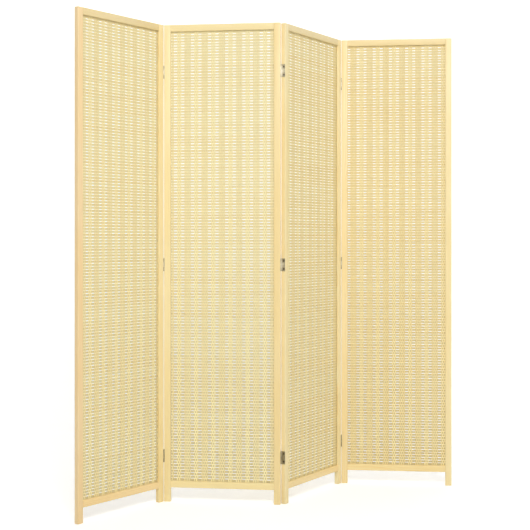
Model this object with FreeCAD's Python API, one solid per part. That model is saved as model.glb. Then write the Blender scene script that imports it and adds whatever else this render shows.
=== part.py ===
"""Four-panel folding screen: pine frames, woven bamboo mats and nine butt hinges, standing in a zigzag.

Millimetres. +Z is up, +X runs along the row of panels from the first to the last, and -Y is the front.
The origin is on the floor under the middle of the standing screen.

Each panel is built in its own coordinates and then stood in its place in the row: x along the panel from
its left end, y from the front face to the back, z up from the floor.
"""

import FreeCAD, Part
import math
import os

os.makedirs("parts", exist_ok=True)

# Frame
screen_height = 1800.0
panel_width = 442.5
frame_depth = 18.0
stile_width = 25.0
rail_height = 25.0
foot_height = 54.0          # from the floor to the bottom rail
edge_ease = 1.5             # the small flat that takes the sharpness off each long edge
tenon_length = 15.0
tenon_thickness = 6.0
tenon_shoulder = 5.0        # wood left above and below a tenon
tenon_slip = 0.1            # all round a tenon
mortise_spare = 1.0         # glue room past the end of a tenon

# Woven mat
groove_depth = 7.0
slat_pitch = 10.6
slat_height = 7.6
slat_thickness = 1.2
strip_width = 3.6           # one warp strip
strip_thickness = 0.6
strip_gap = 0.55            # between two strips of a band
wide_band_strip_count = 6
narrow_band_strip_count = 4
warp_repeats = 6            # wide bands to the width of a mat
weave_slip = 0.05           # between a slat and the strips that cross it
groove_slip = 0.25          # between the mat and each wall of its groove
mat_end_slip = 0.5          # between the mat and the floor of its groove

# Hinges
hinge_height = 48.0
low_hinge_rise = 173.0      # from the floor to the middle of the lowest hinge
high_hinge_drop = 178.0     # from the top of the screen to the middle of the highest hinge
middle_hinge_drop = 2.5     # from halfway between those two to the middle of the third
knuckle_diameter = 5.0
pin_diameter = 2.4
pin_clearance = 0.05        # all round a pin
leaf_thickness = 1.2
leaf_sink = 0.9             # a leaf lies this far below the end of its frame, so that the frames nearly meet
leaf_margin = 1.0           # wood left between a leaf and the far face of the frame
knuckle_stand_out = 0.3     # from the face of the frame to the middle of the pin
knuckle_gap = 0.3           # between the ends of two knuckles
knuckle_relief = 0.4        # round a knuckle, in the wood and in the other leaf
knuckle_sides = 10          # a rolled knuckle is drawn with this many flats
gain_slip = 0.2             # between a leaf's edges and the recess that it lies in

# One overrun serves every cut that runs out of a piece
overrun = 1.0

# Pose of the row: the first panel's turn from the row, and how far each fold is from flat
first_turn_degrees = 28.6
folds_from_flat_degrees = (60.3, 65.4, 64.6)
flat_to_shut_degrees = 180.0

# What follows from the sizes above
opening_width = panel_width - 2 * stile_width
opening_bottom = foot_height + rail_height
opening_top = screen_height - rail_height
opening_height = opening_top - opening_bottom
mat_thickness = slat_thickness + 2 * (weave_slip + strip_thickness)
groove_width = mat_thickness + 2 * groove_slip
mat_reach = groove_depth - mat_end_slip
slat_count = round(opening_height / slat_pitch)
slat_step = opening_height / slat_count
warp_repeat = opening_width / warp_repeats
knuckle_radius = knuckle_diameter / 2
leaf_bed = leaf_sink + leaf_thickness           # from the end of a frame to the wood that a leaf lies on
end_gap = knuckle_radius - leaf_bed             # from the end of a frame to the middle of the pin
high_hinge_height = screen_height - high_hinge_drop
middle_hinge_height = (low_hinge_rise + high_hinge_height) / 2 - middle_hinge_drop
hinge_middles = (low_hinge_rise, middle_hinge_height, high_hinge_height)
up = FreeCAD.Vector(0, 0, 1)
across = FreeCAD.Vector(1, 0, 0)
backwards = FreeCAD.Vector(0, 1, 0)


def block(x, y, z):
    """A box from its two limits along each axis."""
    return Part.makeBox(x[1] - x[0], y[1] - y[0], z[1] - z[0], FreeCAD.Vector(x[0], y[0], z[0]))


def eased_section(width, height):
    """The corners, in order, of a rectangle whose corners are cut off by the edge ease."""
    near, far_w, far_h = edge_ease, width - edge_ease, height - edge_ease
    return [
        (near, 0), (far_w, 0), (width, near), (width, far_h),
        (far_w, height), (near, height), (0, far_h), (0, near),
    ]


def solid_from(points, length):
    """A straight bar: the outline in points, pulled out by the vector length."""
    return Part.Face(Part.makePolygon(points + points[:1])).extrude(length)


def mirrored_across(shape):
    """The same piece for the other end of a panel."""
    return shape.mirror(FreeCAD.Vector(panel_width / 2, 0, 0), across)


def mirrored_through(shape):
    """The same piece for the other face of a panel."""
    return shape.mirror(FreeCAD.Vector(0, frame_depth / 2, 0), backwards)


def centred_in_depth(thickness):
    """The limits in y of something that lies in the middle of the frame's depth."""
    return ((frame_depth - thickness) / 2, (frame_depth + thickness) / 2)


# Frame members

def tenon(rail_bottom, slip):
    """The left tenon of a rail, or with a slip the mortise that takes it."""
    length = tenon_length + (mortise_spare if slip else 0)
    return block(
        (stile_width - length, stile_width),
        centred_in_depth(tenon_thickness + 2 * slip),
        (rail_bottom + tenon_shoulder - slip, rail_bottom + rail_height - tenon_shoulder + slip),
    )


def gain(middle):
    """What is cut out of a left stile for one hinge with its knuckles at the front face."""
    heights = (middle - hinge_height / 2 - gain_slip, middle + hinge_height / 2 + gain_slip)
    recess = block((-overrun, leaf_bed), (-overrun, frame_depth - leaf_margin + gain_slip), heights)
    room = knuckle_radius + knuckle_relief
    relief = block((-overrun, room - end_gap), (-overrun, room - knuckle_stand_out), heights)
    return recess.fuse(relief)


def left_stile(knuckles):
    """A left upright, which is also a foot. knuckles is the face that its hinges show at, or None."""
    outline = [FreeCAD.Vector(x, y, 0) for x, y in eased_section(stile_width, frame_depth)]
    stile = solid_from(outline, up * screen_height)
    cuts = [tenon(foot_height, tenon_slip), tenon(opening_top, tenon_slip)]
    cuts.append(block(
        (stile_width - groove_depth, stile_width + overrun),
        centred_in_depth(groove_width),
        (opening_bottom, opening_top),
    ))
    for middle in hinge_middles if knuckles else ():
        cuts.append(gain(middle) if knuckles == "front" else mirrored_through(gain(middle)))
    for cut in cuts:
        stile = stile.cut(cut)
    return stile


def rail(bottom, groove_at_top):
    """A cross member between the stiles, with a tenon at each end and the groove for the mat."""
    outline = [
        FreeCAD.Vector(stile_width, y, bottom + z)
        for y, z in eased_section(frame_depth, rail_height)
    ]
    bar = solid_from(outline, across * opening_width)
    left = tenon(bottom, 0)
    bar = bar.fuse([left, mirrored_across(left)])
    floor_of_groove = (bottom + rail_height - groove_depth) if groove_at_top else (bottom - overrun)
    top_of_groove = (bottom + rail_height + overrun) if groove_at_top else (bottom + groove_depth)
    groove = block(
        (stile_width, panel_width - stile_width),
        centred_in_depth(groove_width),
        (floor_of_groove, top_of_groove),
    )
    return bar.cut(groove)


# Woven mat

def slats():
    """The bamboo slats: straight wefts that reach into the grooves of both stiles."""
    ends = (stile_width - mat_reach, panel_width - stile_width + mat_reach)
    faces = centred_in_depth(slat_thickness)
    rows = []
    for row in range(slat_count):
        middle = opening_bottom + (row + 0.5) * slat_step
        rows.append(block(ends, faces, (middle - slat_height / 2, middle + slat_height / 2)))
    return Part.makeCompound(rows)


def warps(strips, first_share):
    """Bands of warp strips before and behind the slats, first_share of a repeat off the panel's middle."""
    width = strips * strip_width + (strips - 1) * strip_gap
    low_end = stile_width + mat_end_slip
    high_end = panel_width - low_end
    heights = (opening_bottom - mat_reach, opening_top + mat_reach)
    front, back = centred_in_depth(slat_thickness + 2 * weave_slip)
    bands = []
    for repeat in range(warp_repeats + (0 if first_share else 1)):
        middle = stile_width + (repeat + first_share) * warp_repeat
        sides = (max(middle - width / 2, low_end), min(middle + width / 2, high_end))
        bands.append(block(sides, (front - strip_thickness, front), heights))
        bands.append(block(sides, (back, back + strip_thickness), heights))
    return Part.makeCompound(bands)


# Hinges

def knuckle_zones(numbers):
    """The limits in z, from a hinge's lower end, of those of its three knuckles."""
    third = hinge_height / 3
    return [(n * third + knuckle_gap / 2, (n + 1) * third - knuckle_gap / 2) for n in numbers]


def prism(pivot, radius, zone):
    """An upright prism round the pivot whose flats are radius away from it."""
    half_step = math.pi / knuckle_sides
    reach = radius / math.cos(half_step)
    corners = []
    for side in range(knuckle_sides):
        angle = (2 * side + 1) * half_step
        corners.append(pivot + FreeCAD.Vector(reach * math.cos(angle), reach * math.sin(angle), zone[0]))
    return solid_from(corners, up * (zone[1] - zone[0]))


def hinge_leaf(middle, own, others):
    """A leaf on the left end of a panel, knuckles at the front: own and others number the knuckles."""
    bottom = middle - hinge_height / 2
    pivot = FreeCAD.Vector(-end_gap, -knuckle_stand_out, bottom)
    leaf = block(
        (leaf_sink, leaf_bed),
        (-knuckle_stand_out, frame_depth - leaf_margin),
        (bottom, bottom + hinge_height),
    )
    front = -knuckle_stand_out
    for low, high in knuckle_zones(others):
        leaf = leaf.cut(block(
            (leaf_sink - overrun, leaf_bed + overrun),
            (front - overrun, front + knuckle_radius + knuckle_relief),
            (bottom + low - knuckle_gap, bottom + high + knuckle_gap),
        ))
    for zone in knuckle_zones(own):
        knuckle = prism(pivot, knuckle_radius, zone)
        leaf = leaf.fuse(knuckle.cut(prism(pivot, pin_diameter / 2 + pin_clearance, zone)))
    return leaf.removeSplitter()


def hinge_pin(middle):
    """The pin of one hinge, at the left end of a panel, flush with the outer knuckles."""
    foot = FreeCAD.Vector(-end_gap, -knuckle_stand_out, middle - hinge_height / 2)
    return Part.makeCylinder(pin_diameter / 2, hinge_height, foot, up)


def one_knuckle_leaf(middle):
    """The leaf on the panel to the right of a fold, with the middle knuckle."""
    return hinge_leaf(middle, [1], [0, 2])


def two_knuckle_leaf(middle):
    """The leaf on the panel to the left of a fold, with the outer knuckles."""
    return mirrored_across(hinge_leaf(middle, [0, 2], [1]))


# The row: the face that each fold's knuckles stand at, from the first fold on
knuckle_faces = ("front", "back", "front")


def turned(vector, turn):
    """A vector turned about +Z by turn degrees."""
    return FreeCAD.Rotation(up, turn).multVec(vector)


def pivot_in_panel(side, at_right_end):
    """The middle of a pin in a panel's own coordinates."""
    x = panel_width + end_gap if at_right_end else -end_gap
    y = -knuckle_stand_out if side == "front" else frame_depth + knuckle_stand_out
    return FreeCAD.Vector(x, y, 0)


def stand_in_row():
    """Corner and turn of every panel, and the place of every fold, with the first corner at zero."""
    corner, turn = FreeCAD.Vector(0, 0, 0), first_turn_degrees
    panels, folds = [(corner, turn)], []
    for side, angle in zip(knuckle_faces, folds_from_flat_degrees):
        fold = corner + turned(pivot_in_panel(side, True), turn)
        turn += -angle if side == "front" else angle
        corner = fold - turned(pivot_in_panel(side, False), turn)
        panels.append((corner, turn))
        folds.append(fold)
    return panels, folds


def panel_pieces(number):
    """Every piece of one panel with its share of the hinges, by name, in the panel's own coordinates."""
    panel = f"panel_{number + 1}"
    left_side = knuckle_faces[number - 1] if number > 0 else None
    right_side = knuckle_faces[number] if number < len(knuckle_faces) else None
    pieces = {
        f"{panel}_stile_left": left_stile(left_side),
        f"{panel}_stile_right": mirrored_across(left_stile(right_side)),
        f"{panel}_rail_top": rail(opening_top, False),
        f"{panel}_rail_bottom": rail(foot_height, True),
        f"{panel}_slats": slats(),
        f"{panel}_warps_wide": warps(wide_band_strip_count, 0),
        f"{panel}_warps_narrow": warps(narrow_band_strip_count, 0.5),
    }
    if left_side:
        leaves = Part.makeCompound([one_knuckle_leaf(middle) for middle in hinge_middles])
        pieces[f"hinge_{number}_leaves_right"] = facing(leaves, left_side)
    if right_side:
        leaves = Part.makeCompound([two_knuckle_leaf(middle) for middle in hinge_middles])
        pieces[f"hinge_{number + 1}_leaves_left"] = facing(leaves, right_side)
        for place, middle in zip(("bottom", "middle", "top"), hinge_middles):
            pin = mirrored_across(hinge_pin(middle))
            pieces[f"hinge_{number + 1}_pin_{place}"] = facing(pin, right_side)
    return pieces


def facing(shape, side):
    """A hinge piece made with its knuckles at the front, turned to the side that it shows at."""
    return shape if side == "front" else mirrored_through(shape)


panels, folds = stand_in_row()
pieces = {}
for number, (corner, turn) in enumerate(panels):
    place = FreeCAD.Placement(corner, FreeCAD.Rotation(up, turn))
    for name, shape in panel_pieces(number).items():
        shape.Placement = place.multiply(shape.Placement)
        pieces[name] = shape

frames = Part.makeCompound([shape for name, shape in pieces.items() if "stile" in name])
middle_of_row = FreeCAD.Vector(frames.BoundBox.Center.x, frames.BoundBox.Center.y, 0)
for name, shape in pieces.items():
    shape.translate(-middle_of_row)
    shape.exportStep(f"parts/{name}.step")

for number, (fold, side, angle) in enumerate(zip(folds, knuckle_faces, folds_from_flat_degrees)):
    at = fold - middle_of_row
    print(f"fold {number + 1}: pin at x {at.x:.3f}, y {at.y:.3f}, knuckles at the {side}")
    print(f"  {angle:.1f} degrees from flat, {flat_to_shut_degrees - angle:.1f} from shut")
print(f"{len(pieces)} pieces or groups, {slat_count} slats to a mat, {slat_step:.3f} apart")
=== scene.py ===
"""The dressed look of a four-panel folding screen: pine frames, woven bamboo mats and nickel-plated hinges.

Metres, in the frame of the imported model. Each panel is built in its own coordinates, with x along the panel
from its left end, y from its front face back and z up from the floor, and is then stood in its place.
"""

import math

import bpy
import numpy as np
from mathutils import Matrix, Vector


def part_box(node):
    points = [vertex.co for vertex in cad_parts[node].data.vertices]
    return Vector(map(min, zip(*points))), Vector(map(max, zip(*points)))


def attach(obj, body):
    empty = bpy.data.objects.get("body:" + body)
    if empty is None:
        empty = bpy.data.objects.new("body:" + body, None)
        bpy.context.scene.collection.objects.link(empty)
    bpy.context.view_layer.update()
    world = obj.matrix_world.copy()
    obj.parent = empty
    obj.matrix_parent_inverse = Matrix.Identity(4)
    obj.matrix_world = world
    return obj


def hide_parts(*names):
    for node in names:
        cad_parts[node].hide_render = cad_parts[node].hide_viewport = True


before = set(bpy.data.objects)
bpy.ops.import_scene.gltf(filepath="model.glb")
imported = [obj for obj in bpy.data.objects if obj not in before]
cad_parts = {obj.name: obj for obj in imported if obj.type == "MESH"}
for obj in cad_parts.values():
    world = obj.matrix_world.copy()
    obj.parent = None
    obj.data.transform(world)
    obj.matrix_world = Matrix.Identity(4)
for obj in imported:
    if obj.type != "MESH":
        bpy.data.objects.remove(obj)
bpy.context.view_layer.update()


# The row
# Four panels stand in a zigzag. A panel's place is read from its two uprights, whose middles are a known
# distance in from the panel's ends and faces.
mm = 0.001
stile_width = 25 * mm
frame_depth = 18 * mm
panel_numbers = (1, 2, 3, 4)


def middle_of(node):
    """The middle of a piece's box."""
    low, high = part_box(node)
    return (low + high) / 2


def place_of(panel):
    """The turn and shift that stand a panel, built in its own coordinates, in the row."""
    left = middle_of(f"panel_{panel}_stile_left")
    along = middle_of(f"panel_{panel}_stile_right") - left
    turn = Matrix.Rotation(math.atan2(along.y, along.x), 4, "Z")
    foot = turn @ Vector((stile_width / 2, frame_depth / 2, left.z))
    return Matrix.Translation(left - foot) @ turn


def width_of(panel):
    """The width of a panel over both its uprights."""
    across = middle_of(f"panel_{panel}_stile_right") - middle_of(f"panel_{panel}_stile_left")
    return across.length + stile_width


places = {panel: place_of(panel) for panel in panel_numbers}
panel_width = width_of(1)
screen_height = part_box("panel_1_stile_left")[1].z
opening_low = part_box("panel_1_rail_bottom")[1].z
opening_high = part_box("panel_1_rail_top")[0].z


def belong(piece, panel, node=None):
    """Says which panel a piece moves with and which solid, if any, it stands for."""
    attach(piece, f"panel_{panel}")
    if node:
        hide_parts(node)


def stand(piece, panel, node=None):
    """Moves a finished piece's mesh to its panel's place in the row."""
    piece.data.transform(places[panel])
    piece.data.update()
    belong(piece, panel, node)


# Uprights and rails
# Planed pine, 25 by 18 mm. The rails are tenoned and glued between the uprights, which run down to be the
# feet. The inner edges are grooved for the mat, and every edge in view is sanded round before the varnish.
edge_radius = 1.6 * mm
edge_rings = 3
rails_round_at_ends = ("rail_1_top",)    # the others meet the uprights with square ends
groove_width = 3.0 * mm
groove_depth = 7 * mm
groove_faces = ((frame_depth - groove_width) / 2, (frame_depth + groove_width) / 2)
overrun = 1 * mm                # of every cut past the faces that it goes through
soft_edge = math.radians(35)    # edges with less of a turn than this are shaded smooth

# An upright is let in for its hinges, down to where the leaf lies and round the knuckles.
hinge_height = 48 * mm
leaf_sink = 0.9 * mm
leaf_thickness = 1.2 * mm
leaf_margin = 1 * mm
gain_depth = leaf_sink + leaf_thickness
gain_slip = 0.2 * mm
knuckle_radius = 2.5 * mm
knuckle_relief = 0.4 * mm
pin_past_end = 0.4 * mm
pin_stand_out = 0.3 * mm
relief_across = knuckle_radius + knuckle_relief - pin_past_end
relief_deep = knuckle_radius + knuckle_relief - pin_stand_out
hinge_places = ("bottom", "middle", "top")
hinge_heights = [middle_of(f"hinge_1_pin_{place}").z for place in hinge_places]
knuckle_faces = {1: "front", 2: "back", 3: "front"}    # by fold, from the left
mirror_across = Matrix.Translation((panel_width, 0, 0)) @ Matrix.Scale(-1, 4, (1, 0, 0))
mirror_through = Matrix.Translation((0, frame_depth, 0)) @ Matrix.Scale(-1, 4, (0, 1, 0))

# The growth rings of a board go round a pith that lies this far outside it.
pith_nearest = 28 * mm
pith_furthest = 60 * mm
grain_spread = 20           # metres of trunk that the boards are cut from
rings_per_metre = 330
ring_wander = 16 * mm       # how far a ring strays from round
late_wood_start = 0.74      # of the way from one ring to the next
late_wood_end = 0.9
warm_patch = (0.99, 0.955, 0.87, 1)     # the colour's change where the wood is warmest, as a factor


def start_piece(name, add_primitive, scale=(1, 1, 1), **settings):
    """A primitive as a new piece, with its place and size in its mesh."""
    bpy.ops.object.select_all(action="DESELECT")
    add_primitive(**settings)
    piece = bpy.context.object
    piece.name = name
    piece.data.name = name
    piece.scale = scale
    bpy.ops.object.transform_apply(location=True, rotation=True, scale=True)
    return piece


def board(name, low, high):
    """A squared board between two corners."""
    low, high = Vector(low), Vector(high)
    return start_piece(
        name, bpy.ops.mesh.primitive_cube_add, scale=high - low, size=1, location=(low + high) / 2)


def pick(piece):
    """Makes a piece the active one and the only one selected."""
    bpy.ops.object.select_all(action="DESELECT")
    piece.select_set(True)
    bpy.context.view_layer.objects.active = piece


def edit(choice):
    """Goes into edit mode on the active piece, with all or nothing of it selected."""
    bpy.ops.object.mode_set(mode="EDIT")
    bpy.ops.mesh.select_all(action=choice)


def end_edit():
    """Goes back to object mode."""
    bpy.ops.object.mode_set(mode="OBJECT")


def edit_parts(piece, kind, wanted):
    """Goes into edit mode on the active piece, with those of its edges or faces selected that are wanted."""
    edit("DESELECT")
    bpy.ops.mesh.select_mode(type=kind)
    end_edit()
    parts = piece.data.edges if kind == "EDGE" else piece.data.polygons
    for part in parts:
        part.select = wanted(part)
    bpy.ops.object.mode_set(mode="EDIT")


def ends_of(piece, edge):
    """The two ends of an edge."""
    return [piece.data.vertices[index].co for index in edge.vertices]


def take_out(piece, cutter):
    """Cuts one piece out of another and removes the cutter."""
    pick(piece)
    cut = piece.modifiers.new("cut", "BOOLEAN")
    cut.operation = "DIFFERENCE"
    cut.solver = "EXACT"
    cut.object = cutter
    bpy.ops.object.modifier_apply(modifier=cut.name)
    bpy.data.objects.remove(cutter)


def smooth(piece, angle=soft_edge):
    """Shades a finished piece smooth across its soft edges."""
    pick(piece)
    bpy.ops.object.shade_smooth_by_angle(angle=angle)


def turn_over(piece, mirror):
    """Makes a piece its own mirror image, with its faces still pointing outwards."""
    piece.data.transform(mirror)
    piece.data.flip_normals()


def points_of(piece):
    """The vertices of a piece as an array."""
    points = np.zeros(len(piece.data.vertices) * 3)
    piece.data.vertices.foreach_get("co", points)
    return points.reshape(-1, 3)


def keep_points(piece, name, points):
    """Keeps one vector for each vertex of a piece, for its material to read."""
    store = piece.data.attributes.new(name, "FLOAT_VECTOR", "POINT")
    store.data.foreach_set("vector", np.asarray(points, np.float32).ravel())


def linear(red, green, blue):
    """A colour as a screen shows it, 0 to 255, as the light that a shader takes."""
    shares = [level / 255 for level in (red, green, blue)]
    return (*[s / 12.92 if s <= 0.04045 else ((s + 0.055) / 1.055) ** 2.4 for s in shares], 1)


def fill(node, inputs):
    """Links each input that is given a socket, and sets each that is given a level."""
    for name, source in inputs.items():
        if isinstance(source, bpy.types.NodeSocket):
            node.id_data.links.new(source, node.inputs[name])
        else:
            node.inputs[name].default_value = source


def add(tree, kind, inputs, **settings):
    """Adds a node to a tree, with its settings and then its inputs."""
    node = tree.nodes.new(kind)
    for name, setting in settings.items():
        setattr(node, name, setting)
    fill(node, inputs)
    return node


def new_material(name):
    """A new node material, its tree and its shader."""
    material = bpy.data.materials.new(name)
    material.use_nodes = True
    return material, material.node_tree, material.node_tree.nodes["Principled BSDF"]


def work_out(tree, operation, *terms, **settings):
    """The result of one sum on sockets or numbers."""
    inputs = dict(enumerate(terms))
    return add(tree, "ShaderNodeMath", inputs, operation=operation, **settings).outputs["Value"]


def carry_over(tree, value, source, target):
    """A value taken from one range to another and held between its ends."""
    inputs = {"Value": value, "From Min": source[0], "From Max": source[1]}
    inputs.update({"To Min": target[0], "To Max": target[1]})
    return add(tree, "ShaderNodeMapRange", inputs).outputs["Result"]


def kept(tree, name, output):
    """What a piece's mesh keeps for its material under a name."""
    return add(tree, "ShaderNodeAttribute", {}, attribute_name=name).outputs[output]


def streaks(tree, place, scale, detail, size=1.0):
    """Noise drawn out along the direction in which the scale is least."""
    stretch = add(tree, "ShaderNodeMapping", {"Vector": place, "Scale": scale})
    inputs = {"Vector": stretch.outputs["Vector"], "Scale": size, "Detail": detail}
    return add(tree, "ShaderNodeTexNoise", inputs).outputs["Fac"]


def tone_between(tree, share, first, last, between):
    """A colour that runs from first to last as the share goes from 0 to 1, with others between."""
    ramp = add(tree, "ShaderNodeValToRGB", {"Fac": share})
    stops = ramp.color_ramp.elements
    stops[0].position, stops[0].color = 0.0, first
    stops[1].position, stops[1].color = 1.0, last
    for position, colour in between:
        stops.new(position).color = colour
    return ramp.outputs["Color"]


def raised(tree, height, strength, distance):
    """A surface that stands up a little where a value is high."""
    inputs = {"Height": height, "Strength": strength, "Distance": distance}
    return add(tree, "ShaderNodeBump", inputs).outputs["Normal"]


def pine():
    """Varnished pine: growth rings round a pith outside the board, fibres along it, and a soft sheen."""
    material, tree, shader = new_material("pine")
    place = kept(tree, "grain_place", "Vector")
    bend = streaks(tree, place, scale=(9, 9, 1.6), detail=2.0, size=2.2)
    split = add(tree, "ShaderNodeSeparateXYZ", {"Vector": place})
    flat = add(tree, "ShaderNodeCombineXYZ", {"X": split.outputs["X"], "Y": split.outputs["Y"]})
    reach = add(tree, "ShaderNodeVectorMath", {0: flat.outputs["Vector"]}, operation="LENGTH")
    far = work_out(tree, "MULTIPLY_ADD", bend, ring_wander, reach.outputs["Value"])
    ring = work_out(tree, "FRACT", work_out(tree, "MULTIPLY", far, rings_per_metre))
    early, next_spring = linear(252, 236, 184), linear(251, 233, 178)
    late, last = linear(248, 224, 164), linear(244, 217, 156)
    late_wood = [(late_wood_start, late), (late_wood_end, last)]
    year = tone_between(tree, ring, early, next_spring, late_wood)
    cloud = streaks(tree, place, scale=(14, 14, 3.0), detail=1.0)
    warmth = add(tree, "ShaderNodeMix", {
        "Factor": carry_over(tree, cloud, (0.42, 0.62), (0.0, 0.8)),
        "A": year,
        "B": warm_patch,
    }, data_type="RGBA", blend_type="MULTIPLY")
    tint = {0: warmth.outputs["Result"], 1: kept(tree, "board_tint", "Vector")}
    tinted = add(tree, "ShaderNodeVectorMath", tint, operation="MULTIPLY")
    fibre = streaks(tree, place, scale=(900, 900, 14), detail=3.0)
    level = carry_over(tree, fibre, (0.35, 0.7), (0.95, 1.02))
    shade = {0: tinted.outputs["Vector"], "Scale": level}
    fill(shader, {
        "Base Color": add(tree, "ShaderNodeVectorMath", shade, operation="SCALE").outputs["Vector"],
        "Normal": raised(tree, fibre, strength=0.25, distance=0.2 * mm),
        "Roughness": 0.42,
        "Specular IOR Level": 0.35,
        "Coat Weight": 0.12,
        "Coat Roughness": 0.3,
    })
    return material


pine_board = pine()
chance = np.random.default_rng(7)

# How each board's colour, as light, is scaled from the common one, board by board.
board_tints = {
    "upright_1_left": (0.97, 0.90, 0.95),
    "upright_2_left": (0.98, 1.00, 1.03),
    "upright_2_right": (0.97, 0.95, 0.93),
    "upright_3_left": (0.97, 1.00, 1.07),
    "upright_3_right": (1.00, 1.03, 1.10),
    "upright_4_left": (0.98, 0.97, 1.00),
    "upright_4_right": (1.00, 1.02, 1.07),
    "rail_1_top": (0.87, 0.86, 0.87),
    "rail_1_bottom": (0.99, 0.92, 0.90),
    "rail_2_top": (0.97, 1.00, 1.06),
    "rail_2_bottom": (1.00, 1.03, 1.08),
    "rail_3_top": (0.88, 0.89, 0.93),
    "rail_3_bottom": (0.99, 0.95, 0.93),
    "rail_4_top": (0.95, 0.94, 0.96),
    "rail_4_bottom": (1.00, 0.97, 0.92),
}


def grain(piece, axis):
    """Lays the grain along one axis of a member, in wood of its own: the pith lies outside the board."""
    points = points_of(piece)
    across = [other for other in range(3) if other != axis]
    pith = chance.uniform(pith_nearest, pith_furthest, 2) * chance.choice([-1, 1], 2)
    along = points[:, axis] + chance.uniform(0, grain_spread)
    from_pith = points[:, across] - pith
    keep_points(piece, "grain_place", np.column_stack([from_pith, along]))
    tint = board_tints.get(piece.name, (1, 1, 1))
    keep_points(piece, "board_tint", np.tile(tint, (len(points), 1)))
    piece.data.materials.append(pine_board)


def let_in(stile, height, knuckles):
    """Lets one hinge leaf into the side of an upright and clears the wood round its knuckles."""
    low, high = height - hinge_height / 2 - gain_slip, height + hinge_height / 2 + gain_slip
    far = frame_depth - leaf_margin + gain_slip
    gain = board("gain", (-overrun, -overrun, low), (gain_depth, far, high))
    relief = board("relief", (-overrun, -overrun, low), (relief_across, relief_deep, high))
    for cutter in (gain, relief):
        if knuckles == "back":
            turn_over(cutter, mirror_through)
        take_out(stile, cutter)


def upright(panel, side, knuckles):
    """One upright. knuckles is the face that its hinges show at, or None."""
    stile = board(f"upright_{panel}_{side}", (0, 0, 0), (stile_width, frame_depth, screen_height))
    edit("SELECT")
    bpy.ops.mesh.bevel(offset=edge_radius, segments=edge_rings, affect="EDGES")
    end_edit()
    take_out(stile, board(
        "groove",
        (stile_width - groove_depth, groove_faces[0], opening_low),
        (stile_width + overrun, groove_faces[1], opening_high),
    ))
    if knuckles:
        for height in hinge_heights:
            let_in(stile, height, knuckles)
    smooth(stile)
    if side == "right":
        turn_over(stile, mirror_across)
    grain(stile, 2)
    stand(stile, panel, f"panel_{panel}_stile_{side}")


def rail(panel, end):
    """One cross member between the uprights, grooved along the edge that holds the mat."""
    low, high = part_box(f"panel_{panel}_rail_{end}")
    piece = board(
        f"rail_{panel}_{end}",
        (stile_width, 0, low.z),
        (panel_width - stile_width, frame_depth, high.z),
    )

    def is_round(edge):
        first, second = ends_of(piece, edge)
        return abs(first.x - second.x) > frame_depth or piece.name in rails_round_at_ends

    edit_parts(piece, "EDGE", is_round)
    bpy.ops.mesh.bevel(offset=edge_radius, segments=edge_rings, affect="EDGES")
    end_edit()
    if end == "bottom":
        groove_low, groove_high = high.z - groove_depth, high.z + overrun
    else:
        groove_low, groove_high = low.z - overrun, low.z + groove_depth
    take_out(piece, board(
        "groove",
        (stile_width - overrun, groove_faces[0], groove_low),
        (panel_width - stile_width + overrun, groove_faces[1], groove_high),
    ))
    smooth(piece)
    grain(piece, 0)
    stand(piece, panel, f"panel_{panel}_rail_{end}")


for panel in panel_numbers:
    upright(panel, "left", knuckle_faces.get(panel - 1))
    upright(panel, "right", knuckle_faces.get(panel))
    rail(panel, "top")
    rail(panel, "bottom")


# Slats
# The wefts of each mat: split bamboo, 8 mm high and 1.2 mm thick, planed flat with softened edges. Each one
# runs into the grooves of both uprights, and none is quite straight or quite the colour of the next.
slat_count = 160
slat_height = 8.0 * mm
slat_thickness = 1.2 * mm
slat_corner = 0.4 * mm
slat_lengths = 6
slat_bow = 0.28 * mm        # usual height of one half wave along a slat; two and three are lower
slat_soft_edge = math.radians(20)
mat_reach = 6.5 * mm
slat_step = (opening_high - opening_low) / slat_count
mat_middle = frame_depth / 2

# A mat's slats and strips are of one batch, each mat's batch of its own tone: 0 is pale and 1 is warm.
panel_tones = {1: 0.55, 2: 0.4, 3: 0.75, 4: 0.85}
tone_spread = 0.25
fibre_spread = 30           # metres of cane that the slats and strips are split from
joints_per_metre = 3.1      # of the cane, each a thin darker line across the fibres
joint_share = 0.012         # of the way from one joint to the next
joint_level = 0.85          # of the colour, on that line
# Across this span a strip's painted shade over a slat gives way to painted light between slats.
bend_shares = (0.31, 0.41)  # of a row, from a slat's middle to where a strip's bend starts and ends


def slat_stock(name, low, high):
    """One slat from low to high along x, at height nought, in several lengths so that it can bow."""
    stock = start_piece(name, bpy.ops.mesh.primitive_circle_add, vertices=8, fill_type="NGON")
    y, z = slat_thickness / 2, slat_height / 2
    outline = [
        (y, z - slat_corner), (y - slat_corner, z), (slat_corner - y, z), (-y, z - slat_corner),
        (-y, slat_corner - z), (slat_corner - y, -z), (y - slat_corner, -z), (y, slat_corner - z),
    ]
    for vertex, (depth, height) in zip(stock.data.vertices, outline):
        vertex.co = (low, mat_middle + depth, height)
    edit("SELECT")
    for length in range(slat_lengths):
        step = (high - low) / slat_lengths
        bpy.ops.mesh.extrude_region_move(TRANSFORM_OT_translate={"value": (step, 0, 0)})
    bpy.ops.mesh.select_all(action="SELECT")
    bpy.ops.mesh.normals_make_consistent(inside=False)
    end_edit()
    return stock


def repeat(piece, count, step, weld=0):
    """Makes a row of copies of a piece, one step apart, and joins the points that are nearer than weld."""
    pick(piece)
    row = piece.modifiers.new("row", "ARRAY")
    row.count = count
    row.use_relative_offset = False
    row.use_constant_offset = True
    row.constant_offset_displace = step
    row.use_merge_vertices = weld > 0
    row.merge_threshold = weld
    bpy.ops.object.modifier_apply(modifier=row.name)


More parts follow.
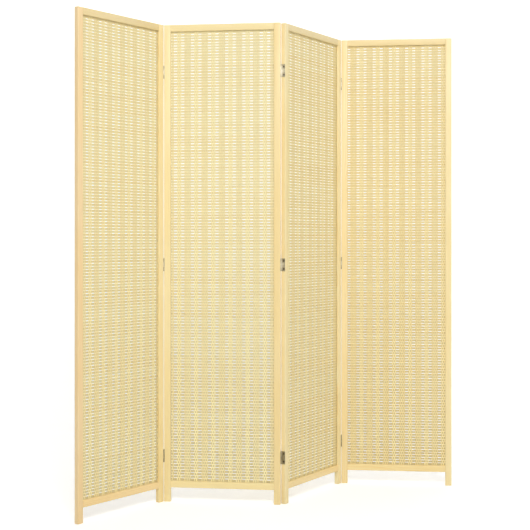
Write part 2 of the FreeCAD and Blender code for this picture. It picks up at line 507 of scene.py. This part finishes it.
def bamboo(name, pale, straw, warm, foot, head, head_height, painted_row_shade_depth=0.0):
    """Split bamboo: fibres along it, a joint now and then and a tone of its own, with painted shade where a
    strip lies over a slat and painted light where it dips between two.

    Its colour is scaled by foot at the foot of the mat, and by head from head_height up: painted light and
    shade by height.
    """
    material, tree, shader = new_material(name)
    place = kept(tree, "fibre_place", "Vector")
    colour = tone_between(tree, kept(tree, "strip_tone", "Fac"), pale, warm, [(0.5, straw)])
    fibre = streaks(tree, place, scale=(10, 1500, 1500), detail=3.0)
    streak = carry_over(tree, fibre, (0.3, 0.7), (0.93, 1.04))
    along = add(tree, "ShaderNodeSeparateXYZ", {"Vector": place}).outputs["X"]
    past_joint = work_out(tree, "FRACT", work_out(tree, "MULTIPLY", along, joints_per_metre))
    joint = carry_over(tree, past_joint, (0.0, joint_share), (joint_level, 1.0))
    spot = add(tree, "ShaderNodeTexCoord", {}).outputs["Object"]
    height = add(tree, "ShaderNodeSeparateXYZ", {"Vector": spot}).outputs["Z"]
    # Painted shade where a strip lies over a slat and painted light where it dips between two.
    rows = work_out(tree, "MULTIPLY_ADD", height, 1 / slat_step, -opening_low / slat_step)
    from_middle = work_out(tree, "SUBTRACT", work_out(tree, "FRACT", rows), 0.5)
    away = work_out(tree, "ABSOLUTE", from_middle)
    painted_row_shade = carry_over(tree, away, bend_shares, (1 - painted_row_shade_depth, 1 + painted_row_shade_depth))
    # Painted light and shade by height, from foot at the foot of the mat to head from head_height up.
    rise = carry_over(tree, height, (opening_low, head_height), (foot, head))
    level = work_out(tree, "MULTIPLY", streak, joint)
    for share in (painted_row_shade, rise):
        level = work_out(tree, "MULTIPLY", level, share)
    shade = add(tree, "ShaderNodeVectorMath", {0: colour, "Scale": level}, operation="SCALE")
    fill(shader, {
        "Base Color": shade.outputs["Vector"],
        "Normal": raised(tree, fibre, strength=0.3, distance=0.1 * mm),
        "Roughness": 0.5,
        "Specular IOR Level": 0.3,
    })
    return material


# Painted shade: the slats darken towards the foot of the mat.
slat_bamboo = bamboo(
    "slat_bamboo", linear(236, 226, 180), linear(233, 217, 164), linear(230, 207, 147),
    foot=0.82, head=0.99, head_height=1.15)


def tones_of(panel, count):
    """Tones for the strips of a panel, from 0 for pale to 1 for warm."""
    spread = chance.uniform(-tone_spread, tone_spread, count)
    return np.clip(panel_tones[panel] + spread, 0, 1)


def keep_numbers(piece, name, numbers):
    """Keeps one number for each vertex of a piece, for its material to read."""
    store = piece.data.attributes.new(name, "FLOAT", "POINT")
    store.data.foreach_set("value", np.asarray(numbers, np.float32).ravel())


def move_points(piece, points):
    """Gives every vertex of a piece a new place."""
    piece.data.vertices.foreach_set("co", points.ravel())
    piece.data.update()


def lay_slats(panel):
    """All the slats of one mat."""
    low, high = stile_width - mat_reach, panel_width - stile_width + mat_reach
    slats = slat_stock(f"slats_{panel}", low, high)
    each = len(slats.data.vertices)
    repeat(slats, slat_count, (0, 0, slat_step))
    points = points_of(slats).reshape(slat_count, each, 3)
    fibre = points.copy()
    fibre[:, :, 2] -= np.arange(slat_count)[:, None] * slat_step
    fibre += chance.uniform(0, fibre_spread, (slat_count, 1, 3))
    keep_points(slats, "fibre_place", fibre.reshape(-1, 3))
    keep_numbers(slats, "strip_tone", np.repeat(tones_of(panel, slat_count), each))
    points[:, :, 2] += opening_low + slat_step / 2
    reach = (points[:, :, 0] - low) / (high - low)
    for half_waves in (1, 2, 3):
        size = chance.normal(0, slat_bow / half_waves, (slat_count, 1))
        start = chance.uniform(0, math.pi, (slat_count, 1))
        points[:, :, 2] += size * np.sin(math.pi * half_waves * reach + start)
    move_points(slats, points)
    smooth(slats, slat_soft_edge)
    slats.data.materials.append(slat_bamboo)
    stand(slats, panel, f"panel_{panel}_slats")


for panel in panel_numbers:
    lay_slats(panel)


# Warp strips
# Thin bamboo strips that run up the mat, over one slat and under the next, each the other way from its
# neighbour. They lie in bands of six and of four by turns, and each mat was cut from the roll at another
# place. Their ends are held in the grooves of the rails.
strip_width = 3.6 * mm
strip_thickness = 0.6 * mm
strip_crown = 0.1 * mm
strip_gap = 0.55 * mm
strip_soft_edge = math.radians(50)
strip_weld = 0.05 * mm          # points nearer than this, where two lengths of a strip meet, are made one
weave_slip = 0.05 * mm
turn_share = 0.9                # of a slat's height, along which a strip lies flat on it
weave_lift = (slat_thickness + strip_thickness) / 2 + weave_slip
sway_size = 0.12 * mm
sway_least, sway_most = 3, 7    # how fast a strip sways from side to side, in radians to the metre
sway_start = 6                  # how far into its sway a strip may start, in radians
warp_repeats = 6
wide_band_strips = 6
narrow_band_strips = 4
first_wide_band = {1: 0.13, 2: -0.02, 3: -0.25, 4: 0.36}    # in repeats from the left end of the mat
half_a_repeat = 0.5             # from a wide band to the next narrow one


def strip_stock():
    """One upright strip, with two rings of points to each slat that it crosses."""
    stock = start_piece("strip", bpy.ops.mesh.primitive_circle_add, vertices=6, fill_type="NOTHING")
    half, depth = strip_width / 2, strip_thickness / 2
    outline = [
        (half, -depth + strip_crown), (0, -depth), (-half, -depth + strip_crown),
        (-half, depth - strip_crown), (0, depth), (half, depth - strip_crown),
    ]
    rise = slat_height * turn_share
    for vertex, (across, back) in zip(stock.data.vertices, outline):
        vertex.co = (across, back, -rise / 2)
    edit("SELECT")
    for step in (rise, slat_step - rise):
        bpy.ops.mesh.extrude_region_move(TRANSFORM_OT_translate={"value": (0, 0, step)})
    end_edit()
    repeat(stock, slat_count, (0, 0, slat_step), strip_weld)
    edit("SELECT")
    bpy.ops.mesh.fill_holes(sides=len(outline))
    bpy.ops.mesh.select_all(action="SELECT")
    bpy.ops.mesh.normals_make_consistent(inside=False)
    end_edit()
    return stock


# Painted light: the strips brighten towards the foot of the mat. They also get painted shade over each slat
# and painted light between slats.
wide_band_bamboo = bamboo(
    "wide_band_bamboo", linear(239, 230, 184), linear(238, 223, 169), linear(235, 214, 152),
    foot=1.13, head=0.99, head_height=1.7, painted_row_shade_depth=0.07)
narrow_band_bamboo = bamboo(
    "narrow_band_bamboo", linear(245, 238, 193), linear(244, 232, 178), linear(240, 222, 162),
    foot=1.15, head=1.01, head_height=1.7, painted_row_shade_depth=0.06)
strip = strip_stock()


def copy_of(piece, shift=(0, 0, 0)):
    """A copy of a piece with a mesh of its own, moved by shift."""
    pick(piece)
    bpy.ops.object.duplicate(linked=False)
    copy = bpy.context.object
    copy.data.transform(Matrix.Translation(shift))
    return copy


def woven_strip(panel, middle, number):
    """A copy of the stock, set at its place across the panel and bent over and under the slats."""
    copy = copy_of(strip)
    points = points_of(copy)
    length_first = (2, 0, 1)    # the fibres run up the strip
    fibre = points[:, length_first] + chance.uniform(0, fibre_spread, 3)
    keep_points(copy, "fibre_place", fibre)
    keep_numbers(copy, "strip_tone", np.repeat(tones_of(panel, 1), len(points)))
    row = np.floor(points[:, 2] / slat_step + 0.5)
    side = np.where((row + number) % 2 == 0, -1.0, 1.0)
    size = chance.normal(0, sway_size)
    turns = points[:, 2] * chance.uniform(sway_least, sway_most) + chance.uniform(0, sway_start)
    points[:, 0] += middle + size * np.sin(turns)
    points[:, 1] += mat_middle + side * weave_lift
    points[:, 2] += opening_low + slat_step / 2
    at_foot = points[:, 2] < opening_low + slat_step / 4
    at_head = points[:, 2] > opening_high - slat_step / 4
    points[at_foot, 2] = opening_low - mat_reach
    points[at_head, 2] = opening_high + mat_reach
    move_points(copy, points)
    return copy


def join(name, parts):
    """Joins several pieces into one mesh."""
    pick(parts[0])
    for part in parts:
        part.select_set(True)
    bpy.ops.object.join()
    whole = bpy.context.object
    whole.name = name
    whole.data.name = name
    return whole


def weave(panel, kind, strips, first, finish):
    """The bands of one kind in one mat: the strips to a band, and where the first one is, in repeats.

    A band at either end of the mat keeps only the strips that fit between the uprights.
    """
    repeat_width = (panel_width - 2 * stile_width) / warp_repeats
    low, high = stile_width + strip_width / 2, panel_width - stile_width - strip_width / 2
    parts = []
    for band in range(-1, warp_repeats + 1):
        middle = stile_width + (band + first) * repeat_width
        for place in range(strips):
            across = middle + (place - (strips - 1) / 2) * (strip_width + strip_gap)
            if low < across < high:
                parts.append(woven_strip(panel, across, place))
    bands = join(f"warps_{panel}_{kind}", parts)
    bands.data.materials.append(finish)
    smooth(bands, strip_soft_edge)
    stand(bands, panel, f"panel_{panel}_warps_{kind}")


for panel in panel_numbers:
    first = first_wide_band[panel]
    weave(panel, "wide", wide_band_strips, first, wide_band_bamboo)
    weave(panel, "narrow", narrow_band_strips, first + half_a_repeat, narrow_band_bamboo)
bpy.data.objects.remove(strip)


# Hinge leaves
# Nine narrow butt hinges of pressed steel, nickel plated, three to a fold. A leaf is 1.2 mm thick, lies in a
# recess in the end of its panel, and rolls round the pin at the face where its fold closes.
knuckle_gap = 0.3 * mm
roll_steps = 16
roll_turn = math.radians(300)
leaf_edge_radius = 0.12 * mm
leaf_sharp_edge = math.radians(40)      # edges with more of a turn than this are rounded
painted_highlight_across = 7 * mm                  # how far from the pin the painted highlight fades out
painted_highlight_along = 10 * mm                  # and how far up and down from the middle of the hinge
painted_shade_heights = (0.3, 1.7)               # painted shade: the plating is darker at the first height than at the second
painted_shade_levels = (-0.35, -0.05)
painted_highlight_heights = (0.2, 1.0)                # and the painted highlight is stronger at the second
painted_highlight_levels = (0.0, 0.85)
screw_offset = 15 * mm                  # from the middle of a hinge up or down to a screw
screw_depth = 11 * mm                   # from the face with the knuckles to a screw
screw_head_radius = 3.1 * mm
screw_neck_radius = 1.7 * mm
screw_hole_sides = 24
screw_hole_tip = screw_neck_radius / 2  # radius at which the cone of the hole ends, behind the leaf


def plated(name, dark_end, light_end, rough):
    """Plated steel: drawn along its length, with a painted highlight round the pin at the middle of a hinge,
    stronger higher up, and painted shade towards the floor.
    """
    material, tree, shader = new_material(name)
    spot = add(tree, "ShaderNodeTexCoord", {}).outputs["Object"]
    drawn = streaks(tree, spot, scale=(1500, 1500, 90), detail=3.0)
    cloud = add(tree, "ShaderNodeTexNoise", {"Vector": spot, "Scale": 160.0, "Detail": 3.0})
    height = add(tree, "ShaderNodeSeparateXYZ", {"Vector": spot}).outputs["Z"]
    # Painted shade towards the floor, and a painted highlight round the pin that is stronger higher up.
    painted_shade_by_height = carry_over(tree, height, painted_shade_heights, painted_shade_levels)
    painted_highlight_by_height = carry_over(tree, height, painted_highlight_heights, painted_highlight_levels)
    painted_light_share = work_out(tree, "MULTIPLY_ADD", kept(tree, "painted_highlight", "Fac"), painted_highlight_by_height, painted_shade_by_height)
    share = work_out(tree, "ADD", cloud.outputs["Fac"], painted_light_share, use_clamp=True)
    tone = add(tree, "ShaderNodeMix", {"Factor": share, "A": dark_end, "B": light_end}, data_type="RGBA")
    fill(shader, {
        "Base Color": tone.outputs["Result"],
        "Roughness": carry_over(tree, drawn, (0.0, 1.0), (rough * 0.75, rough * 1.35)),
        "Normal": raised(tree, drawn, strength=0.1, distance=0.1 * mm),
        "Metallic": 1.0,
    })
    return material


nickel = plated("nickel_plate", linear(166, 154, 122), linear(248, 243, 228), rough=0.3)


def cone_hole(height):
    """The countersunk hole for one screw, through a leaf and a little past both its faces."""
    slope = (screw_head_radius - screw_neck_radius) / leaf_thickness
    return start_piece(
        "hole",
        bpy.ops.mesh.primitive_cone_add,
        vertices=screw_hole_sides,
        radius1=screw_head_radius + slope * overrun,
        radius2=screw_hole_tip,
        depth=leaf_thickness + 2 * overrun,
        location=(leaf_sink + leaf_thickness / 2, screw_depth, height),
        rotation=(0, math.radians(90), 0),
    )


def leaf_stock(knuckles):
    """One leaf for the left end of a panel with its knuckles, numbered from the foot, at the front."""
    third = hinge_height / 3
    zones = [(k * third + knuckle_gap / 2, (k + 1) * third - knuckle_gap / 2) for k in knuckles]
    leaf = board(
        "leaf", (leaf_sink, relief_deep, 0), (gain_depth, frame_depth - leaf_margin, hinge_height))
    edit("SELECT")
    for height in (limit for zone in zones for limit in zone):
        bpy.ops.mesh.select_all(action="SELECT")
        bpy.ops.mesh.bisect(plane_co=(0, 0, height), plane_no=(0, 0, 1))
    end_edit()

    def rolls_up(face):
        return face.normal.y < -0.5 and any(low < face.center.z < high for low, high in zones)

    edit_parts(leaf, "FACE", rolls_up)
    to_pin = -(relief_deep + pin_stand_out)
    bpy.ops.mesh.extrude_region_move(TRANSFORM_OT_translate={"value": (0, to_pin, 0)})
    bpy.ops.mesh.spin(
        steps=roll_steps, angle=roll_turn, center=(-pin_past_end, -pin_stand_out, 0), axis=(0, 0, -1))
    bpy.ops.mesh.select_all(action="SELECT")
    bpy.ops.mesh.normals_make_consistent(inside=False)
    end_edit()
    for side in (-1, 1):
        take_out(leaf, cone_hole(hinge_height / 2 + side * screw_offset))
    edges = leaf.modifiers.new("edges", "BEVEL")
    edges.width = leaf_edge_radius
    edges.segments = 1
    edges.limit_method = "ANGLE"
    edges.angle_limit = leaf_sharp_edge
    bpy.ops.object.modifier_apply(modifier=edges.name)
    smooth(leaf)
    # The share of painted highlight at each point of the leaf, round the pin at the middle of the hinge.
    points = points_of(leaf)
    from_pin = np.hypot(points[:, 0] + pin_past_end, points[:, 1] + pin_stand_out)
    from_middle = points[:, 2] - hinge_height / 2
    fade = (from_pin / painted_highlight_across) ** 2 + (from_middle / painted_highlight_along) ** 2
    keep_numbers(leaf, "painted_highlight", np.exp(-fade))
    return leaf


def seat(name, stock, fold, side, finish, node=None):
    """Copies of a hinge piece at the three hinges of a fold, on the panel to its left or right."""
    feet = [height - hinge_height / 2 for height in hinge_heights]
    piece = join(name, [copy_of(stock, (0, 0, foot)) for foot in feet])
    if side == "left":
        turn_over(piece, mirror_across)
    if knuckle_faces[fold] == "back":
        turn_over(piece, mirror_through)
    piece.data.materials.clear()
    piece.data.materials.append(finish)
    stand(piece, fold + 1 if side == "right" else fold, node)


leaves = {"right": leaf_stock([1]), "left": leaf_stock([0, 2])}
for fold in knuckle_faces:
    for side, leaf in leaves.items():
        name, node = f"hinge_leaves_{fold}_{side}", f"hinge_{fold}_leaves_{side}"
        seat(name, leaf, fold, side, nickel, node)
for leaf in leaves.values():
    bpy.data.objects.remove(leaf)


# Hinge screws
# Two countersunk steel screws hold each leaf, with a cross recess in a head that lies flush with the leaf
# and a pointed shank in the wood.
screw_sides = 20
screw_slip = 0.1 * mm       # between the head and its hole
screw_sink = 0.05 * mm      # of the head below the leaf
recess_width = 0.8 * mm
recess_length = 3.4 * mm
recess_depth = 0.8 * mm
shank_length = 10 * mm
tip_length = 3 * mm


def screw_stock():
    """Both screws of one leaf, for the left end of a panel."""
    screw = start_piece(
        "screw",
        bpy.ops.mesh.primitive_cone_add,
        vertices=screw_sides,
        radius1=screw_head_radius - screw_slip,
        radius2=screw_neck_radius - screw_slip,
        depth=leaf_thickness,
        location=(leaf_sink + leaf_thickness / 2 + screw_sink, screw_depth, 0),
        rotation=(0, math.radians(90), 0),
    )
    edit_parts(screw, "FACE", lambda face: face.normal.x > 0.9)
    for length in (shank_length, tip_length):
        bpy.ops.mesh.extrude_region_move(TRANSFORM_OT_translate={"value": (length, 0, 0)})
    bpy.ops.mesh.merge(type="CENTER")
    end_edit()
    head = leaf_sink + screw_sink
    for wide, high in ((recess_width, recess_length), (recess_length, recess_width)):
        take_out(screw, board(
            "recess",
            (head - overrun, screw_depth - wide / 2, -high / 2),
            (head + recess_depth, screw_depth + wide / 2, high / 2),
        ))
    smooth(screw)
    heights = [hinge_height / 2 + side * screw_offset for side in (-1, 1)]
    pair = join("screws", [copy_of(screw, (0, 0, height)) for height in heights])
    bpy.data.objects.remove(screw)
    return pair


screw_steel = plated("screw_steel", linear(70, 64, 50), linear(100, 94, 76), rough=0.34)
screws = screw_stock()
for fold in knuckle_faces:
    for side in ("right", "left"):
        seat(f"hinge_screws_{fold}_{side}", screws, fold, side, screw_steel)
bpy.data.objects.remove(screws)


# Hinge pins
# A plated steel wire, 2.4 mm thick, runs through the three knuckles of each hinge, and its ends are domed
# over so that it can't drop out.
pin_radius = 1.2 * mm
pin_proud = 0.4 * mm
pin_sides = 24
dome_radius = 0.8 * pin_radius
dome_rings = 4


def pin(fold, place):
    """One pin, where the solid has it, with its two rims rounded to domes."""
    node = f"hinge_{fold}_pin_{place}"
    low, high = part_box(node)
    piece = start_piece(
        f"hinge_pin_{fold}_{place}",
        bpy.ops.mesh.primitive_cylinder_add,
        vertices=pin_sides,
        radius=pin_radius,
        depth=high.z - low.z + 2 * pin_proud,
        location=middle_of(node),
    )

    def lies_level(edge):
        first, second = ends_of(piece, edge)
        return abs(first.z - second.z) < pin_radius

    edit_parts(piece, "EDGE", lies_level)
    bpy.ops.mesh.bevel(offset=dome_radius, segments=dome_rings, affect="EDGES")
    end_edit()
    smooth(piece)
    piece.data.materials.append(nickel)
    belong(piece, fold, node)


for fold in knuckle_faces:
    for place in hinge_places:
        pin(fold, place)


# Floor and backdrop
# A plain pale floor, and behind the screen a sheet of the same pale paper that curves up out of it. Both are
# lit so far that they are white where the screen throws no shadow. The sheet can't be seen from behind.
camera_turn = math.radians(-24.4)
white = (1, 1, 1, 1)
paper_colour = (0.95, 0.95, 0.95, 1)
paper_glow = 0.32
fade_start = 3.0            # from the middle of the screen out, the paper fades from here
fade_end = 7.0              # to white here
floor_width = 400
sheet_distance = 2.0
sheet_half_width = 4.0
sheet_height = 3.4
sheet_bend = 0.5
sheet_bend_steps = 12
sheet_lift = 1 * mm         # off the floor, so that the two aren't in one plane


def seen(tree):
    """1 for what is looked at, straight or in metal or glass, and 0 for the light that falls on things."""
    path = add(tree, "ShaderNodeLightPath", {}).outputs
    either = work_out(tree, "MAXIMUM", path["Is Camera Ray"], path["Is Glossy Ray"])
    return work_out(tree, "MAXIMUM", either, path["Is Transmission Ray"])


def paper(name, one_sided):
    """Matt pale paper, a little brighter to the eye than to the rest of the scene, and white far off."""
    material, tree, shader = new_material(name)
    spot = add(tree, "ShaderNodeTexCoord", {}).outputs["Object"]
    reach = add(tree, "ShaderNodeVectorMath", {0: spot}, operation="LENGTH").outputs["Value"]
    fade = carry_over(tree, reach, (fade_start, fade_end), (paper_glow, 1.0))
    fill(shader, {
        "Emission Strength": work_out(tree, "MULTIPLY", seen(tree), fade),
        "Emission Color": white,
        "Base Color": paper_colour,
        "Roughness": 0.9,
        "Specular IOR Level": 0.0,
    })
    if one_sided:
        pick_side = add(tree, "ShaderNodeMixShader", {
            "Fac": add(tree, "ShaderNodeNewGeometry", {}).outputs["Backfacing"],
            1: shader.outputs["BSDF"],
            2: add(tree, "ShaderNodeBsdfTransparent", {}).outputs["BSDF"],
        })
        fill(tree.nodes["Material Output"], {"Surface": pick_side.outputs["Shader"]})
    return material


floor = start_piece("floor", bpy.ops.mesh.primitive_plane_add, size=floor_width)
floor.data.materials.append(paper("floor_paper", False))

# The sheet starts as a narrow strip on the floor, whose far edge is then turned up and drawn out.
strip_middle = sheet_distance - 1.5 * sheet_bend
sheet = start_piece(
    "backdrop",
    bpy.ops.mesh.primitive_plane_add,
    scale=(1, sheet_bend / (2 * sheet_half_width), 1),
    size=2 * sheet_half_width,
    location=(0, strip_middle, sheet_lift),
)
edit_parts(sheet, "EDGE", lambda edge: all(end.y > strip_middle for end in ends_of(sheet, edge)))
bpy.ops.mesh.spin(
    steps=sheet_bend_steps,
    angle=math.radians(90),
    center=(0, sheet_distance - sheet_bend, sheet_bend + sheet_lift),
    axis=(-1, 0, 0),
)
bpy.ops.mesh.extrude_region_move(TRANSFORM_OT_translate={"value": (0, 0, sheet_height - sheet_bend)})
end_edit()
sheet.data.transform(Matrix.Rotation(camera_turn, 4, "Z"))
smooth(sheet)
sheet.data.materials.append(paper("sheet_paper", True))


# Surround and lamps
# An even pale surround, white where it is seen, a large soft lamp high in front of the screen, a weak one low
# on its other side, and one high behind it that lifts its back.
surround_light = 0.36
lamps = {
    "key": {"distance": 6.5, "bearing": math.radians(21), "height": 5.1, "size": 2.6, "power": 294},
    "fill": {"distance": 5.0, "bearing": math.radians(-50), "height": 2.9, "size": 4.4, "power": 44},
    "back": {"distance": 1.45, "bearing": math.pi - camera_turn, "height": 3.2, "size": 2.2, "power": 16},
}

world = bpy.data.worlds.new("surround")
bpy.context.scene.world = world
world.use_nodes = True
fill(world.node_tree.nodes["Background"], {
    "Color": white,
    "Strength": carry_over(world.node_tree, seen(world.node_tree), (0.0, 1.0), (surround_light, 1.0)),
})


def lamp(name, distance, bearing, height, size, power):
    """A square soft lamp that shines at the middle of the screen. Its bearing turns it from the front."""
    light = bpy.data.lights.new(name, "AREA")
    light.size = size
    light.energy = power
    holder = bpy.data.objects.new(name, light)
    bpy.context.scene.collection.objects.link(holder)
    holder.location = (-distance * math.sin(bearing), -distance * math.cos(bearing), height)
    aim = Vector((0, 0, screen_height / 2)) - holder.location
    holder.rotation_euler = aim.to_track_quat("-Z", "Y").to_euler()


for name, settings in lamps.items():
    lamp(name, **settings)


# Camera
# At a little under a metre and level, as the photograph was taken, with the lens shifted down a little to
# frame the screen.
camera_place = (-1.8216, -4.0033, 0.9856)
sensor_width = 36
lens_length = 77.93
lens_shift = -0.0459

eye = bpy.data.cameras.new("eye")
eye.sensor_width = sensor_width
eye.lens = lens_length
eye.shift_y = lens_shift
camera = bpy.data.objects.new("eye", eye)
bpy.context.scene.collection.objects.link(camera)
camera.location = camera_place
camera.rotation_euler = (math.radians(90), 0, camera_turn)
bpy.context.scene.camera = camera
bpy.context.scene.view_settings.view_transform = "Standard"
